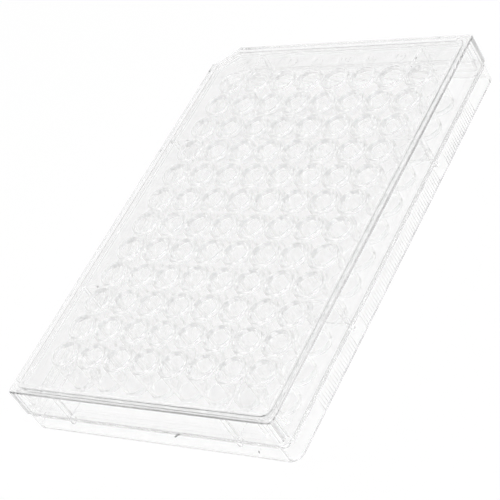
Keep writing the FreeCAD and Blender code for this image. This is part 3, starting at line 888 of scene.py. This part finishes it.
def studio_world(look):
    """A white sweep beyond the plate, sides that are dark low down, and a bright ceiling."""
    world = bpy.data.worlds.new("studio")
    world.use_nodes = True
    nodes, links = world.node_tree.nodes, world.node_tree.links
    back = nodes["Background"]
    coord = nodes.new("ShaderNodeTexCoord")
    split = nodes.new("ShaderNodeSeparateXYZ")
    links.new(coord.outputs["Generated"], split.inputs[0])
    along = nodes.new("ShaderNodeVectorMath")
    along.operation = "DOT_PRODUCT"
    along.inputs[1].default_value = AHEAD
    links.new(coord.outputs["Generated"], along.inputs[0])

    def height_ramp(levels):
        """Brightness by the height of the direction."""
        ramp = nodes.new("ShaderNodeValToRGB")
        links.new(split.outputs["Z"], ramp.inputs[0])
        stops = ramp.color_ramp.elements
        for number, (place, level) in enumerate(levels):
            stop = stops[number] if number < 2 else stops.new(place)
            stop.position = place
            stop.color = (level, level, level, 1.0)
        return ramp.outputs["Color"]

    def blend(start, end, first, second):
        """From the first light to the second where the direction turns from start to end."""
        turn = nodes.new("ShaderNodeMapRange")
        turn.interpolation_type = "SMOOTHSTEP"
        turn.inputs["From Min"].default_value = start
        turn.inputs["From Max"].default_value = end
        links.new(along.outputs["Value"], turn.inputs["Value"])
        mix = nodes.new("ShaderNodeMixRGB")
        links.new(turn.outputs["Result"], mix.inputs["Fac"])
        links.new(first, mix.inputs["Color1"])
        links.new(second, mix.inputs["Color2"])
        return mix.outputs["Color"]

    sweep = nodes.new("ShaderNodeRGB")
    sweep.outputs[0].default_value = (look.sweep, look.sweep, look.sweep, 1.0)
    sides = height_ramp(SIDES)
    rear = blend(*REAR_TURN, height_ramp(BEHIND), sides)
    light = blend(*SWEEP_TURN, rear, sweep.outputs[0])
    links.new(light, back.inputs["Color"])
    return world


def add_lamp(name, place, extent, level):
    """A square soft lamp aimed at the plate, as bright as a surface of that level."""
    lamp = bpy.data.lights.new(name, "AREA")
    lamp.size = extent
    lamp.energy = level * math.pi * extent * extent
    holder = bpy.data.objects.new(name, lamp)
    bpy.context.scene.collection.objects.link(holder)
    holder.location = place
    holder.rotation_euler = Vector(place).to_track_quat("Z", "Y").to_euler()


def lay_floor(look):
    """A level square just under the plate."""
    work = bmesh.new()
    bmesh.ops.create_grid(work, x_segments=1, y_segments=1, size=look.floor_size / 2)
    bmesh.ops.translate(work, verts=work.verts, vec=(0, 0, -FLOOR_GAP))
    floor = new_object(work, "floor")
    floor.data.materials.append(floor_material(look))


def place_camera(look):
    """The camera at its own viewing angle."""
    camera_data = bpy.data.cameras.new("camera")
    camera_data.lens = look.lens
    camera_data.sensor_width = SENSOR
    camera_data.clip_start = NEAREST
    camera = bpy.data.objects.new("camera", camera_data)
    bpy.context.scene.collection.objects.link(camera)
    turn = Matrix((CAMERA_RIGHT, -CAMERA_DOWN, -CAMERA_AHEAD)).transposed()
    camera.matrix_world = Matrix.Translation(look.eye) @ turn.to_4x4()
    bpy.context.scene.camera = camera


class PLATE_OT_dress_stage(bpy.types.Operator):
    """Set up the floor, the lamp, the surroundings and the camera"""

    bl_idname = "wellplate.dress_stage"
    bl_label = "Dress stage"

    def execute(self, context):
        look = user_values("stage_look")
        scene = context.scene
        lay_floor(look)
        scene.world = studio_world(look)
        add_lamp("soft lamp", look.lamp_place, look.lamp_size, look.lamp_level)
        scene.cycles.blur_glossy = 0.0
        scene.cycles.max_bounces = LIGHT_BOUNCES
        scene.cycles.transmission_bounces = LIGHT_BOUNCES
        scene.cycles.glossy_bounces = LIGHT_BOUNCES
        place_camera(look)
        scene.view_settings.view_transform = "Standard"
        return {"FINISHED"}


# -------------------------------------------------------------------------------- add-on


class PLATE_PT_panel(bpy.types.Panel):
    """Buttons for every piece"""

    bl_label = "Well plate"
    bl_idname = "PLATE_PT_panel"
    bl_space_type = "VIEW_3D"
    bl_region_type = "UI"
    bl_category = "Well plate"

    def draw(self, context):
        for operator in OPERATORS:
            self.layout.operator(operator.bl_idname)


GROUPS = {
    "plate_sizes": PlateSizes, "lid_sizes": LidSizes, "moulding_look": MouldingLook,
    "stage_look": StageLook}
OPERATORS = (PLATE_OT_mould_plate, PLATE_OT_mould_lid, PLATE_OT_dress_stage)


def register():
    for name, group in GROUPS.items():
        bpy.utils.register_class(group)
        setattr(bpy.types.Scene, name, bpy.props.PointerProperty(type=group))
    for item in OPERATORS + (PLATE_PT_panel,):
        bpy.utils.register_class(item)


def unregister():
    for item in reversed(OPERATORS + (PLATE_PT_panel,)):
        bpy.utils.unregister_class(item)
    for name, group in GROUPS.items():
        delattr(bpy.types.Scene, name)
        bpy.utils.unregister_class(group)


def main():
    register()
    bpy.ops.wellplate.mould_plate()
    bpy.ops.wellplate.mould_lid()
    bpy.ops.wellplate.dress_stage()


if __name__ == "__main__":
    main()
